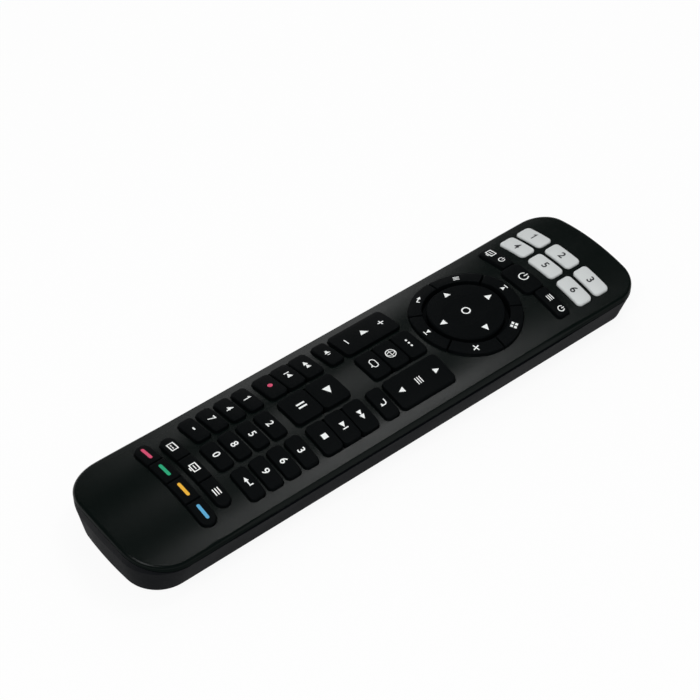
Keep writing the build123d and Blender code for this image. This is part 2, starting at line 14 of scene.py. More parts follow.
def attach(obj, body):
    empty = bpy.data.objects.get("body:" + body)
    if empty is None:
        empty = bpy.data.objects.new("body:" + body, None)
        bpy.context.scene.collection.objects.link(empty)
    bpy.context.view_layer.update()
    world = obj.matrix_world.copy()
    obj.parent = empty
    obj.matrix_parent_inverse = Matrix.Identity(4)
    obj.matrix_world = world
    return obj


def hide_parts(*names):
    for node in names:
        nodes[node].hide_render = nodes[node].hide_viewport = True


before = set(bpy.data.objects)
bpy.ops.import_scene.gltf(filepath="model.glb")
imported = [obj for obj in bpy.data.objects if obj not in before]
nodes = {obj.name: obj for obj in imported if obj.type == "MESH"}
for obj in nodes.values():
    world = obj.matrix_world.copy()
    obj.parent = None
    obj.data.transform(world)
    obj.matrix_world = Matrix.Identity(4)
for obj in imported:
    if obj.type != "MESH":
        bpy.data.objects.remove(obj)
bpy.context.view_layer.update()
mm = 0.001

# The arched face and the key tops above it
face_top = 19.0 * mm
crown_radius = 88.5 * mm
crown_centre = face_top - crown_radius
key_proud = 1.3 * mm
pale_key_proud = 0.6 * mm
print_lift = 0.02 * mm        # ink stands this far above the plastic
print_facet = 1.2 * mm        # printed shapes are cut this small, so they follow the arch

# Where the keys are, in millimetres
column = 15.35
nav_row = 47.4
arrow_radius, ring_radius = 11.0, 18.3
number_row, row_pitch, middle_drop = -40.0, 7.5, 1.55

# The cursor disc's dished top
disc_dish = 0.5 * mm
disc_dish_radius = 10.5 * mm


def crown_height(x, rise=0.0):
    """Height of the arched face at x, or of a surface that stands above it by rise."""
    return crown_centre + sqrt((crown_radius + rise) ** 2 - x * x)


# Shared effects
def group_with(name, inputs, outputs):
    """Empty shader group with named sockets."""
    tree = bpy.data.node_groups.new(name, "ShaderNodeTree")
    for label, value in inputs:
        socket = tree.interface.new_socket(label, in_out="INPUT", socket_type="NodeSocketFloat")
        socket.default_value = value
    for label in outputs:
        tree.interface.new_socket(label, in_out="OUTPUT", socket_type="NodeSocketFloat")
    return tree, tree.nodes.new("NodeGroupInput"), tree.nodes.new("NodeGroupOutput")


def moulded_grain():
    """Fine spark-eroded texture of a moulding, and slow drifts of tone across it."""
    tree, given, result = group_with("moulded_grain", [("Grain Scale", 2600.0), ("Drift Scale", 45.0)],
                                     ["Height", "Drift"])
    place = tree.nodes.new("ShaderNodeTexCoord")
    fine = tree.nodes.new("ShaderNodeTexNoise")
    fine.inputs["Detail"].default_value = 3.0
    pits = tree.nodes.new("ShaderNodeTexVoronoi")
    drift = tree.nodes.new("ShaderNodeTexNoise")
    drift.inputs["Detail"].default_value = 4.0
    both = tree.nodes.new("ShaderNodeMath")
    both.operation = "MULTIPLY_ADD"
    both.inputs[1].default_value = 0.5
    link = tree.links.new
    for texture in (fine, pits, drift):
        link(place.outputs["Object"], texture.inputs["Vector"])
    link(given.outputs["Grain Scale"], fine.inputs["Scale"])
    link(given.outputs["Grain Scale"], pits.inputs["Scale"])
    link(given.outputs["Drift Scale"], drift.inputs["Scale"])
    link(pits.outputs["Distance"], both.inputs[0])
    link(fine.outputs["Fac"], both.inputs[2])
    link(both.outputs["Value"], result.inputs["Height"])
    link(drift.outputs["Fac"], result.inputs["Drift"])
    return tree


def handling_film():
    """Faint smears of handling: a mask that lifts and lowers the gloss in streaks along the case."""
    tree, given, result = group_with(
        "handling_film", [("Smear Scale", 60.0), ("Low", 0.35), ("High", 0.45)], ["Roughness", "Smear"])
    place = tree.nodes.new("ShaderNodeTexCoord")
    stretch = tree.nodes.new("ShaderNodeMapping")
    stretch.inputs["Scale"].default_value = (1.0, 0.35, 1.0)
    smear = tree.nodes.new("ShaderNodeTexNoise")
    smear.inputs["Detail"].default_value = 6.0
    smear.inputs["Distortion"].default_value = 0.6
    spread = tree.nodes.new("ShaderNodeMapRange")
    spread.inputs["From Min"].default_value = 0.35
    spread.inputs["From Max"].default_value = 0.7
    link = tree.links.new
    link(place.outputs["Object"], stretch.inputs["Vector"])
    link(stretch.outputs["Vector"], smear.inputs["Vector"])
    link(given.outputs["Smear Scale"], smear.inputs["Scale"])
    link(smear.outputs["Fac"], spread.inputs["Value"])
    link(given.outputs["Low"], spread.inputs["To Min"])
    link(given.outputs["High"], spread.inputs["To Max"])
    link(spread.outputs["Result"], result.inputs["Roughness"])
    link(smear.outputs["Fac"], result.inputs["Smear"])
    return tree


grain_effect = moulded_grain()
film_effect = handling_film()


def shader_with(name):
    """New material with its shader node and a Bump node that feeds it."""
    material = bpy.data.materials.new(name)
    material.use_nodes = True
    tree = material.node_tree
    shader = tree.nodes["Principled BSDF"]
    bump = tree.nodes.new("ShaderNodeBump")
    tree.links.new(bump.outputs["Normal"], shader.inputs["Normal"])
    return material, tree, shader, bump


def placed(tree, effect, **values):
    """An effect group in a material, with its own values."""
    node = tree.nodes.new("ShaderNodeGroup")
    node.node_tree = effect
    for label, value in values.items():
        node.inputs[label.replace("_", " ")].default_value = value
    return node


def two_tones(tree, mask, dark, light):
    """Colour that moves between two tones by a mask."""
    mix = tree.nodes.new("ShaderNodeMix")
    mix.data_type = "RGBA"
    mix.inputs["A"].default_value = (*dark, 1)
    mix.inputs["B"].default_value = (*light, 1)
    tree.links.new(mask, mix.inputs["Factor"])
    return mix.outputs["Result"]


def plastic(name, dark, light, rough, grain=2600.0, depth=0.02 * mm, gloss=0.5, coat=0.0):
    """Moulded plastic: two close tones, gloss that varies with handling, and a fine grain."""
    material, tree, shader, bump = shader_with(name)
    skin = placed(tree, grain_effect, Grain_Scale=grain)
    film = placed(tree, film_effect, Low=rough[0], High=rough[1])
    tree.links.new(two_tones(tree, skin.outputs["Drift"], dark, light), shader.inputs["Base Color"])
    tree.links.new(film.outputs["Roughness"], shader.inputs["Roughness"])
    tree.links.new(skin.outputs["Height"], bump.inputs["Height"])
    bump.inputs["Distance"].default_value = depth
    shader.inputs["Specular IOR Level"].default_value = gloss
    shader.inputs["Coat Weight"].default_value = coat
    return material


# How far up a surface faces, 0 upright and 1 level: steps from wall to side rim, and from rim to top
wall_to_rim = (0.2, 0.43)
rim_to_top = (0.86, 0.955)


def dull_rim(material, top_gloss, side_shade_gloss, wall_shade_gloss):
    """Painted shade: less gloss where the moulding faces sideways than on its top, and least where it
    stands upright, so the side rim and walls look shaded whatever the lamps.
    """
    tree = material.node_tree
    place = tree.nodes.new("ShaderNodeTexCoord")
    split = tree.nodes.new("ShaderNodeSeparateXYZ")
    upper = tree.nodes.new("ShaderNodeMapRange")
    upper.inputs["From Min"].default_value, upper.inputs["From Max"].default_value = rim_to_top
    upper.inputs["To Max"].default_value = top_gloss
    lower = tree.nodes.new("ShaderNodeMapRange")
    lower.inputs["From Min"].default_value, lower.inputs["From Max"].default_value = wall_to_rim
    lower.inputs["To Min"].default_value = wall_shade_gloss
    lower.inputs["To Max"].default_value = side_shade_gloss
    tree.links.new(place.outputs["Normal"], split.inputs["Vector"])
    tree.links.new(split.outputs["Z"], lower.inputs["Value"])
    tree.links.new(lower.outputs["Result"], upper.inputs["To Min"])
    tree.links.new(split.outputs["Z"], upper.inputs["Value"])
    tree.links.new(upper.outputs["Result"], tree.nodes["Principled BSDF"].inputs["Specular IOR Level"])


def ink(name, colour):
    """Pad-printed ink: even colour with a slightly patchy film."""
    paler = tuple(min(1.0, value * 1.12) for value in colour)
    return plastic(name, colour, paler, (0.45, 0.6), grain=5000.0, depth=0.002 * mm, gloss=0.3)


# Gloss of the face, and the lower gloss that paints shade on its side rim and upright walls
face_gloss, rim_shade_gloss, wall_shade_gloss = 0.14, 0.085, 0.008
face_plastic = plastic("face_plastic", (0.0019, 0.0038, 0.0032), (0.0031, 0.0053, 0.0047), (0.22, 0.28),
                       gloss=face_gloss)
dull_rim(face_plastic, face_gloss, rim_shade_gloss, wall_shade_gloss)
tub_plastic = plastic("tub_plastic", (0.0024, 0.0030, 0.0040), (0.0036, 0.0044, 0.0056), (0.58, 0.68),
                      grain=1800.0, depth=0.05 * mm, gloss=0.03)
key_plastic = plastic("key_plastic", (0.0018, 0.0026, 0.0029), (0.0026, 0.0034, 0.0038), (0.48, 0.6),
                      gloss=0.035)
pale_plastic = plastic("pale_plastic", (0.55, 0.575, 0.57), (0.62, 0.645, 0.64), (0.35, 0.45),
                       depth=0.008 * mm)
window_plastic = plastic("window_plastic", (0.010, 0.002, 0.003), (0.016, 0.003, 0.004), (0.05, 0.10),
                         depth=0.001 * mm, coat=0.6)
mat_rubber = plastic("mat_rubber", (0.085, 0.085, 0.09), (0.11, 0.11, 0.115), (0.6, 0.75),
                     depth=0.03 * mm, gloss=0.25)
print_white = ink("print_white", (0.80, 0.82, 0.81))
print_dark = ink("print_dark", (0.020, 0.021, 0.024))
print_red = ink("print_red", (0.60, 0.060, 0.14))
print_green = ink("print_green", (0.010, 0.35, 0.165))
print_amber = ink("print_amber", (0.75, 0.40, 0.028))
print_blue = ink("print_blue", (0.085, 0.35, 0.58))


def board_laminate():
    """Green circuit board: copper tracks showing as paler lines under the solder mask."""
    material, tree, shader, bump = shader_with("board_laminate")
    skin = placed(tree, grain_effect, Grain_Scale=4000.0)
    place = tree.nodes.new("ShaderNodeTexCoord")
    tracks = tree.nodes.new("ShaderNodeTexBrick")
    tracks.inputs["Scale"].default_value = 160.0
    tracks.inputs["Mortar Size"].default_value = 0.08
    tracks.inputs["Color1"].default_value = (0.012, 0.085, 0.035, 1)
    tracks.inputs["Color2"].default_value = (0.016, 0.10, 0.042, 1)
    tracks.inputs["Mortar"].default_value = (0.05, 0.20, 0.085, 1)
    tree.links.new(place.outputs["Object"], tracks.inputs["Vector"])
    tree.links.new(tracks.outputs["Color"], shader.inputs["Base Color"])
    tree.links.new(skin.outputs["Height"], bump.inputs["Height"])
    bump.inputs["Distance"].default_value = 0.01 * mm
    shader.inputs["Roughness"].default_value = 0.35
    return material


def plated_steel():
    """Nickel-plated contacts: pale metal with fine drawn lines."""
    material, tree, shader, bump = shader_with("plated_steel")
    skin = placed(tree, grain_effect, Grain_Scale=3000.0, Drift_Scale=200.0)
    film = placed(tree, film_effect, Smear_Scale=400.0, Low=0.22, High=0.38)
    tree.links.new(two_tones(tree, skin.outputs["Drift"], (0.50, 0.49, 0.46), (0.64, 0.62, 0.58)),
                   shader.inputs["Base Color"])
    tree.links.new(film.outputs["Roughness"], shader.inputs["Roughness"])
    tree.links.new(skin.outputs["Height"], bump.inputs["Height"])
    bump.inputs["Distance"].default_value = 0.01 * mm
    shader.inputs["Metallic"].default_value = 1.0
    return material


def cell_sleeve():
    """Plain printed sleeve of a cell with a bright band near each end."""
    material, tree, shader, bump = shader_with("cell_sleeve")
    skin = placed(tree, grain_effect, Grain_Scale=3000.0)
    film = placed(tree, film_effect, Smear_Scale=150.0, Low=0.2, High=0.32)
    place = tree.nodes.new("ShaderNodeTexCoord")
    split = tree.nodes.new("ShaderNodeSeparateXYZ")
    band = tree.nodes.new("ShaderNodeValToRGB")
    reach = tree.nodes.new("ShaderNodeMapRange")
    reach.inputs["From Min"].default_value = -108 * mm
    reach.inputs["From Max"].default_value = -58 * mm
    band.color_ramp.interpolation = "CONSTANT"
    stops = band.color_ramp.elements
    stops[0].position, stops[0].color = 0.0, (0.55, 0.55, 0.53, 1)
    stops[1].position, stops[1].color = 0.12, (0.018, 0.019, 0.022, 1)
    late = stops.new(0.87)
    late.color = (0.55, 0.55, 0.53, 1)
    tree.links.new(place.outputs["Object"], split.inputs["Vector"])
    tree.links.new(split.outputs["Y"], reach.inputs["Value"])
    tree.links.new(reach.outputs["Result"], band.inputs["Fac"])
    tree.links.new(band.outputs["Color"], shader.inputs["Base Color"])
    tree.links.new(film.outputs["Roughness"], shader.inputs["Roughness"])
    tree.links.new(skin.outputs["Height"], bump.inputs["Height"])
    bump.inputs["Distance"].default_value = 0.004 * mm
    shader.inputs["Metallic"].default_value = 0.35
    return material


emitter_epoxy = plastic("emitter_epoxy", (0.16, 0.18, 0.24), (0.20, 0.23, 0.30), (0.05, 0.09),
                        depth=0.001 * mm, gloss=0.6, coat=0.3)
finishes = {
    "top_case": face_plastic,
    "bottom_case": tub_plastic,
    "battery_door": tub_plastic,
    "ir_window": window_plastic,
    "keypad_mat": mat_rubber,
    "circuit_board": board_laminate(),
    "ir_emitters": emitter_epoxy,
    "contact_bridge": plated_steel(),
    "battery_cells": cell_sleeve(),
}
finishes["contact_pair"] = finishes["contact_bridge"]


def dress(piece, material):
    """Give a piece one material on all its faces."""
    piece.data.materials.clear()
    piece.data.materials.append(material)


def added(name, data):
    """New object in the scene."""
    piece = bpy.data.objects.new(name, data)
    bpy.context.collection.objects.link(piece)
    return piece


for name, material in finishes.items():
    dress(nodes[name], material)

# Side rims: a rolled chamfer above the line between the halves, and a wider lip below it
side_face = 27.5 * mm
rim_foot = 12.41 * mm         # lower edge of the top case along the sides
rim_lift = 0.55 * mm          # the chamfer starts this far above it
rim_top = 14.94 * mm          # where the chamfer meets the arched face
rim_lean = 1.0 * mm           # how far the chamfer leans in
rim_roll = 1.1                # how much it is rolled; 1 is flat
lip_top = 12.05 * mm          # upper edge of the bottom case along the sides
lip_drop = 0.45 * mm          # how far that edge is lowered

# Corners farther out than the first value can move, and those beyond the second are the outer edge
rim_inner, rim_edge = 26.55 * mm, 27.4 * mm
lip_inner, lip_edge = 26.85 * mm, 27.3 * mm
cut_inner = 26.5 * mm                          # faces that reach farther out than this are cut across
face_edge, face_foot = 14.93 * mm, 14.9 * mm   # height at which the arched face begins, and just under it
rib_foot = 12.7 * mm                           # the locating rib stands above this

# The chamfer fades out between these distances from the middle, cut into even steps
side_full, side_start = 57.0 * mm, 93.0 * mm
fade_steps = 8


def side_share(y):
    """How much of the chamfer there is this far along the case, from 0 to 1."""
    part = min(1.0, max(0.0, (side_start - abs(y)) / (side_start - side_full)))
    return part * part * (3 - 2 * part)


def chamfer_inset(z):
    """How far the rim leans in at a height."""
    part = min(1.0, max(0.0, (z - rim_foot - rim_lift) / (rim_top - rim_foot - rim_lift)))
    return rim_lean * (1 - (1 - part**rim_roll) ** (1 / rim_roll))


def chamfer_slope(z):
    """Direction that the rim faces at a height: sideways and up."""
    step = 0.05 * mm
    lean = (chamfer_inset(z + step) - chamfer_inset(z - step)) / (2 * step)
    return Vector((1.0, 0.0, lean)).normalized()


def top_rim(point, facing):
    """New place and direction of a corner on the top case's side rim."""
    share, side = side_share(point.y), 1 if point.x > 0 else -1
    place = point.copy()
    if abs(point.x) < rim_inner or point.z > face_edge or point.z < rim_foot - 0.02 * mm or not share:
        return place, facing
    if point.z < rim_foot + 0.5 * mm:
        if abs(point.x) > rim_edge:
            place.z += share * rim_lift
        else:
            return place, facing
    if point.z > face_foot:
        place.z += share * (rim_top - point.z)
    place.x += side * share * (side_face - chamfer_inset(place.z) - abs(point.x))
    if abs(facing.x) > 0.25 and facing.z > -0.5:
        slope = chamfer_slope(min(place.z, rim_top - 0.1 * mm))
        facing = facing.lerp(Vector((side * slope.x, 0.0, slope.z)), share).normalized()
    return place, facing


def bottom_lip(point, facing):
    """New place and direction of a corner on the bottom case's upper edge."""
    share, side = side_share(point.y), 1 if point.x > 0 else -1
    place = point.copy()
    if abs(point.x) < lip_inner or point.z < lip_top - 0.05 * mm or point.z > rib_foot or not share:
        return place, facing
    if abs(point.x) > lip_edge:
        place.z -= share * lip_drop
    if facing.z > 0.8:
        facing = facing.lerp(Vector((0.63 * side, 0.0, 0.777)), share).normalized()
    return place, facing


def reshaped_half(name, reshape):
    """Stand-in for a case half: the same shell, cut across near its ends, with the rim's corners moved."""
    mesh = nodes[name].data.copy()
    kept = mesh.attributes.new("facing", "FLOAT_VECTOR", "CORNER")
    kept.data.foreach_set("vector", [value for corner in mesh.corner_normals for value in corner.vector])
    shape = bmesh.new()
    shape.from_mesh(mesh)
    bmesh.ops.remove_doubles(shape, verts=shape.verts, dist=0.0005 * mm)
    stations = [side * (side_full + (side_start - side_full) * step / fade_steps)
                for side in (-1, 1) for step in range(fade_steps + 1)]
    for y in stations:
        near = [face for face in shape.faces if any(abs(v.co.x) > cut_inner for v in face.verts)]
        around = set(near)
        for face in near:
            around.update(face.verts, face.edges)
        bmesh.ops.bisect_plane(shape, geom=list(around), dist=1e-8, plane_co=(0, y, 0), plane_no=(0, 1, 0))
    facing = shape.loops.layers.float_vector["facing"]
    moved_to = {}
    for face in shape.faces:
        for loop in face.loops:
            place, loop[facing] = reshape(loop.vert.co, loop[facing].copy())
            moved_to[loop.vert] = place
    for vertex, place in moved_to.items():
        vertex.co = place
    bmesh.ops.triangulate(shape, faces=shape.faces)
    shape.to_mesh(mesh)
    shape.free()
    corners = [tuple(corner.vector) for corner in mesh.attributes["facing"].data]
    mesh.attributes.remove(mesh.attributes["facing"])
    mesh.normals_split_custom_set(corners)
    piece = added(name + "_shell", mesh)
    dress(piece, finishes[name])
    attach(piece, "case")
    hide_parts(name)


reshaped_half("top_case", top_rim)
reshaped_half("bottom_case", bottom_lip)

# Keys: each CAD key with its top rim rounded over
key_rounding = 0.5 * mm
pale_key_rounding = 1.4 * key_rounding
pale_keys = [name for name in nodes if name.startswith("source_key_")]
dark_keys = [name for name in nodes if name not in (*finishes, *pale_keys, "nav_disc")]


def on_top(vertex, rise):
    """Whether a vertex lies on the key-top surface."""
    return abs(vertex.co.z - crown_height(vertex.co.x, rise)) < 0.015 * mm


def rounded_key(name, material, rounding, proud):
    """Stand-in for a CAD key: the same solid, its faces joined up and its top rim rounded."""
    mesh = nodes[name].data.copy()
    shape = bmesh.new()
    shape.from_mesh(mesh)
    bmesh.ops.remove_doubles(shape, verts=shape.verts, dist=0.001 * mm)
    bmesh.ops.dissolve_limit(shape, angle_limit=radians(0.6), verts=shape.verts, edges=shape.edges)
    rim = [edge for edge in shape.edges
           if edge.is_manifold and edge.calc_face_angle() > radians(50)
           and all(on_top(v, proud) for v in edge.verts)]
    bmesh.ops.bevel(shape, geom=rim, offset=rounding, segments=5, profile=0.5, affect="EDGES",
                    clamp_overlap=True)
    shape.to_mesh(mesh)
    shape.free()
    for face in mesh.polygons:
        face.use_smooth = True
    mesh.set_sharp_from_angle(angle=radians(35))
    piece = added(name + "_cap", mesh)
    dress(piece, material)
    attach(piece, name)
    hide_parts(name)


for name in dark_keys:
    rounded_key(name, key_plastic, key_rounding, key_proud)
for name in pale_keys:
    rounded_key(name, pale_plastic, pale_key_rounding, pale_key_proud)
dress(nodes["nav_disc"], key_plastic)


# Printed marks
def disc_height(x, y):
    """Height of the cursor disc's dished top."""
    ball = (disc_dish_radius**2 + disc_dish**2) / (2 * disc_dish)
    reach = x * x + (y - nav_row * mm) ** 2
    bowl = face_top + key_proud - disc_dish + ball - sqrt(ball * ball - reach)
    return min(bowl, crown_height(x, key_proud))


def key_height(x, y):
    """Height of the black keys' tops."""
    return crown_height(x, key_proud)


def pale_key_height(x, y):
    """Height of the source keys' tops, which are lower."""
    return crown_height(x, pale_key_proud)


def printed(name, body, shapes, at, material=print_white, height=key_height):
    """Ink on a key: flat outlines in millimetres about a point, cut small and laid on the curved top."""
    shape = bmesh.new()
    for outline in shapes:
        corners = [shape.verts.new(((at[0] + x) * mm, (at[1] + y) * mm, 0)) for x, y in outline]
        shape.faces.new(corners)
    bmesh.ops.triangulate(shape, faces=shape.faces)
    for _ in range(4):
        long_edges = [edge for edge in shape.edges if edge.calc_length() > print_facet]
        if not long_edges:
            break
        bmesh.ops.subdivide_edges(shape, edges=long_edges, cuts=1)
        bmesh.ops.triangulate(shape, faces=shape.faces)
    for vertex in shape.verts:
        vertex.co.z = height(vertex.co.x, vertex.co.y) + print_lift
    shape.normal_update()
    if shape.faces and sum(face.normal.z for face in shape.faces) < 0:
        bmesh.ops.reverse_faces(shape, faces=shape.faces)
    mesh = bpy.data.meshes.new(name)
    shape.to_mesh(mesh)
    shape.free()
    piece = added(name, mesh)
    dress(piece, material)
    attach(piece, body)


def digit(text, size, weight=0.012):
    """Outlines of one figure, centred: 1 is drawn here, the others come from the built-in face."""
    if text == "1":
        return [[(0.25 * size * x, 0.25 * size * y) for x, y in outline]
                for outline in ribbon([(-0.72, 0.7), (0.1, 1.35), (0.1, -1.45)], 0.36 + 6 * weight)]
    curve = bpy.data.curves.new("figure", "FONT")
    curve.body = text
    curve.size = size
    curve.offset = weight * size
    carrier = added("figure", curve)
    bpy.context.view_layer.update()
    mesh = bpy.data.meshes.new_from_object(carrier.evaluated_get(bpy.context.evaluated_depsgraph_get()))
    bpy.data.objects.remove(carrier)
    xs = [v.co.x for v in mesh.vertices]
    ys = [v.co.y for v in mesh.vertices]
    middle = ((min(xs) + max(xs)) / 2, (min(ys) + max(ys)) / 2)
    points = [(v.co.x - middle[0], v.co.y - middle[1]) for v in mesh.vertices]
    outlines = [[points[i] for i in face.vertices] for face in mesh.polygons]
    bpy.data.meshes.remove(mesh)
    return outlines


def arc(radius, start, end, steps=24, centre=(0.0, 0.0)):
    """Points along an arc, angles in degrees."""
    angles = [radians(start + (end - start) * i / steps) for i in range(steps + 1)]
    return [(centre[0] + radius * cos(angle), centre[1] + radius * sin(angle)) for angle in angles]


def ribbon(points, width, closed=False):
    """A line of even width along points, as four-sided pieces that share their ends."""
    count = len(points)
    sides = []
    for index, point in enumerate(points):
        before = points[index - 1] if closed or index else point
        after = points[(index + 1) % count] if closed or index < count - 1 else point
        incoming = (Vector(point) - Vector(before)).normalized()
        outgoing = (Vector(after) - Vector(point)).normalized()
        along = (incoming + outgoing).normalized()
        across = Vector((-along.y, along.x))
        straight = incoming if incoming.length else outgoing
        share = max(0.35, across.dot(Vector((-straight.y, straight.x))))
        half = across * (width / 2 / share)
        sides.append((tuple(Vector(point) + half), tuple(Vector(point) - half)))
    pairs = [(sides[i], sides[(i + 1) % count]) for i in range(count if closed else count - 1)]
    return [[here[0], here[1], there[1], there[0]] for here, there in pairs]


def box(x, y, width, height):
    """Upright rectangle about a point."""
    return [(x - width / 2, y - height / 2), (x + width / 2, y - height / 2),
            (x + width / 2, y + height / 2), (x - width / 2, y + height / 2)]


def moved(shapes, dx=0.0, dy=0.0, turn=0.0, mirrored=False):
    """Shapes turned by an angle in degrees, mirrored left to right if asked, then shifted."""
    c, s, sign = cos(radians(turn)), sin(radians(turn)), -1 if mirrored else 1
    return [[(sign * (x * c - y * s) + dx, x * s + y * c + dy) for x, y in outline] for outline in shapes]


def wedge(size):
    """Solid arrowhead that points right."""
    return [[(-0.45 * size, -0.5 * size), (0.55 * size, 0.0), (-0.45 * size, 0.5 * size)]]


def circle_line(radius, width):
    """Ring."""
    return ribbon(arc(radius, 0, 360, 32)[:-1], width, closed=True)


def power_mark(radius, width):
    """Open ring with a bar in its gap."""
    return ribbon(arc(radius, 125, 415, 28), width) + [box(0, radius * 0.62, width, radius * 1.1)]


def double_wedge(size):
    """Two arrowheads in a row."""
    return moved(wedge(size), -0.45 * size) + moved(wedge(size), 0.5 * size)


def skip_mark(size):
    """Arrowhead against a bar."""
    return moved(wedge(size), -0.15 * size) + [box(0.62 * size, 0, 0.2 * size, size)]


mark = {
    "play": wedge(3.3),
    "pause": [box(-0.8, 0, 0.74, 3.4), box(0.8, 0, 0.74, 3.4)],
    "stop": [box(0, 0, 2.1, 2.1)],
    "fast": double_wedge(2.0),
    "skip": skip_mark(2.2),
    "plus": [box(0, 0, 2.5, 0.5), box(0, 0.75, 0.5, 1.0), box(0, -0.75, 0.5, 1.0)],
    "minus": [box(0, 0, 2.9, 0.42)],
    "bars": [box(0, 0.95, 2.9, 0.38), box(0, 0, 2.9, 0.38), box(0, -0.95, 2.9, 0.38)],
    "dash": [box(0, 0, 1.5, 0.6)],
    "level": [[(-1.6, -0.4), (0.85, -1.75), (0.85, 1.75)]],
    "caption": ribbon([(-1.8, -1.2), (1.8, -1.2), (1.8, 1.2), (-1.8, 1.2)], 0.42, closed=True)
               + [box(-0.65, -0.2, 0.9, 0.4), box(0.65, -0.2, 0.9, 0.4)],
    "screen": ribbon([(-1.7, -1.1), (1.7, -1.1), (1.7, 1.2), (-1.7, 1.2)], 0.42, closed=True)
              + [box(0, 0.05, 2.0, 0.35), box(0, -1.75, 1.5, 0.4)],
    "globe": circle_line(1.9, 0.3) + [box(0, 0, 3.6, 0.24)]
             + ribbon(arc(2.35, -50, 50, 12, (-1.5, 0)), 0.24)
             + ribbon(arc(2.35, 130, 230, 12, (1.5, 0)), 0.24),
    "ring": circle_line(1.5, 0.5),
    "bubble": ribbon(arc(1.1, 90, 270, 10, (-0.85, 0.2)) + arc(1.1, -90, 90, 10, (0.85, 0.2)), 0.34,
                     closed=True) + [[(0.35, -0.95), (1.3, -1.9), (1.15, -0.95)]],
    "dots": [arc(0.45, 0, 360, 12, (x, 0))[:-1] for x in (-1.6, 0.0, 1.6)],
    "speaker": [[(-1.2, -0.45), (-0.5, -0.45), (0.35, -1.2), (0.35, 1.2), (-0.5, 0.45), (-1.2, 0.45)]]
               + ribbon(arc(1.0, -40, 40, 8, (0.2, 0)), 0.32),
    "back": ribbon(arc(1.0, -90, 90, 14, (0.3, 0)) + [(-0.9, 1.0)], 0.42)
            + moved(wedge(1.0), 1.0, -1.0, mirrored=True),
    "grid": [box(x, y, 1.1, 1.1) for y in (0.8, -0.8) for x in (-0.8, 0.8)],
    "cross": ribbon([(-1.1, -1.1), (1.1, 1.1)], 0.5) + ribbon([(-1.1, 1.1), (-0.2, 0.2)], 0.5)
             + ribbon([(0.2, -0.2), (1.1, -1.1)], 0.5),
    "page": moved(wedge(1.9), 0, -0.2, 90) + [box(0, 1.35, 2.2, 0.4)],
    "bar": [arc(0.6, 90, 270, 8, (-2.55, 0)) + arc(0.6, -90, 90, 8, (2.55, 0))],
    "dot": [arc(0.95, 0, 360, 20)[:-1]],
    "enter": ribbon([(1.5, 1.2), (1.5, -0.1), (-0.7, -0.1)], 0.45)
             + moved(wedge(1.7), -1.2, -0.1, mirrored=True),
    "power": power_mark(1.75, 0.42),
    "small_power": power_mark(1.15, 0.36),
    "menu": [box(0, 0.85, 2.6, 0.36), box(0, 0, 2.6, 0.36), box(0, -0.85, 2.6, 0.36)],
}
left, right = -column, column

# Figures on the source keys
source_keys = (("source_key_1", left, 95.35), ("source_key_2", 0, 95.35), ("source_key_3", right, 95.35),
               ("source_key_4", left, 86.8), ("source_key_5", 0, 86.8), ("source_key_6", right, 86.8))
for figure, (key, x, y) in enumerate(source_keys, 1):
    printed(key + "_figure", key, digit(str(figure), 4.4, 0.022), (x, y), print_dark,
            pale_key_height)

# White signs on the black keys, then the number pad's figures
white_marks = (
    ("power_key", "power", 0, 75.7),
    ("input_key", "screen", -18.6, 76.3), ("input_key", "small_power", -12.6, 76.3),
    ("source_power_key", "menu", 13.6, 76.3), ("source_power_key", "small_power", 19.6, 76.3),
    ("volume_rocker", "plus", left, 19.9), ("volume_rocker", "level", left, 12.0),
    ("volume_rocker", "minus", left, 4.1), ("channel_rocker", "bars", right, 12.0),
    ("option_key_upper", "dots", 0, 20.3), ("option_key_middle", "globe", 0, 11.9),
    ("option_key_lower", "bubble", 0, 3.9),
    ("mute_key", "speaker", left, -4.6), ("return_key", "back", right, -4.6),
    ("play_key", "play", 0, -16.3), ("pause_key", "pause", 0, -28.0),
    ("fast_forward_key", "fast", right, -14.0), ("skip_forward_key", "skip", right, -21.9),
    ("stop_key", "stop", right, -30.0),
    ("key_dash", "dash", left, -62.5), ("key_enter", "enter", right, -62.5),
    ("caption_key", "caption", -12.9, -73.1), ("display_key", "screen", 0, -73.1),
    ("list_key", "bars", 12.6, -73.1),
)
for key, kind, x, y in white_marks:
    printed(f"{key}_{kind}", key, mark[kind], (x, y))
for key, kind, x, y in (("rewind_key", "fast", left, -14.0), ("skip_back_key", "skip", left, -21.9)):
    printed(f"{key}_{kind}", key, moved(mark[kind], mirrored=True), (x, y))
for y, turn in ((19.9, 90), (4.1, -90)):
    arrow = moved(wedge(2.3), turn=turn)
    printed(f"channel_rocker_arrow_{turn % 360}", "channel_rocker", arrow, (right, y))
printed("record_key_dot", "record_key", mark["dot"], (left, -30.0), print_red)
for index in range(10):
    place, row = (index - 1) % 3, (index - 1) // 3
    if index == 0:
        place, row = 1, 3
    y = number_row - row_pitch * row - (middle_drop if place == 1 else 0)
    printed(f"key_{index}_figure", f"key_{index}", digit(str(index), 4.0), ((left, 0, right)[place], y))

# Cursor disc and the six keys round it
printed("nav_disc_ring", "nav_disc", mark["ring"], (0, nav_row), height=disc_height)
for turn in (0, 90, 180, 270):
    at = (arrow_radius * cos(radians(turn)), nav_row + arrow_radius * sin(radians(turn)))
    printed(f"nav_disc_arrow_{turn}", "nav_disc", moved(wedge(2.6), turn=turn), at, height=disc_height)
ring_marks = (("ring_key_top", "page", 90, 0), ("ring_key_upper_left", "menu", 150, 60),
              ("ring_key_lower_left", "enter", 210, -60), ("ring_key_bottom", "page", 270, 180),
              ("ring_key_lower_right", "cross", 330, 60), ("ring_key_upper_right", "grid", 30, -60))
for key, kind, heading, turn in ring_marks:
    at = (ring_radius * cos(radians(heading)), nav_row + ring_radius * sin(radians(heading)))
    small = [[(0.9 * x, 0.9 * y) for x, y in outline] for outline in moved(mark[kind], turn=turn)]
    printed(f"{key}_{kind}", key, small, at)

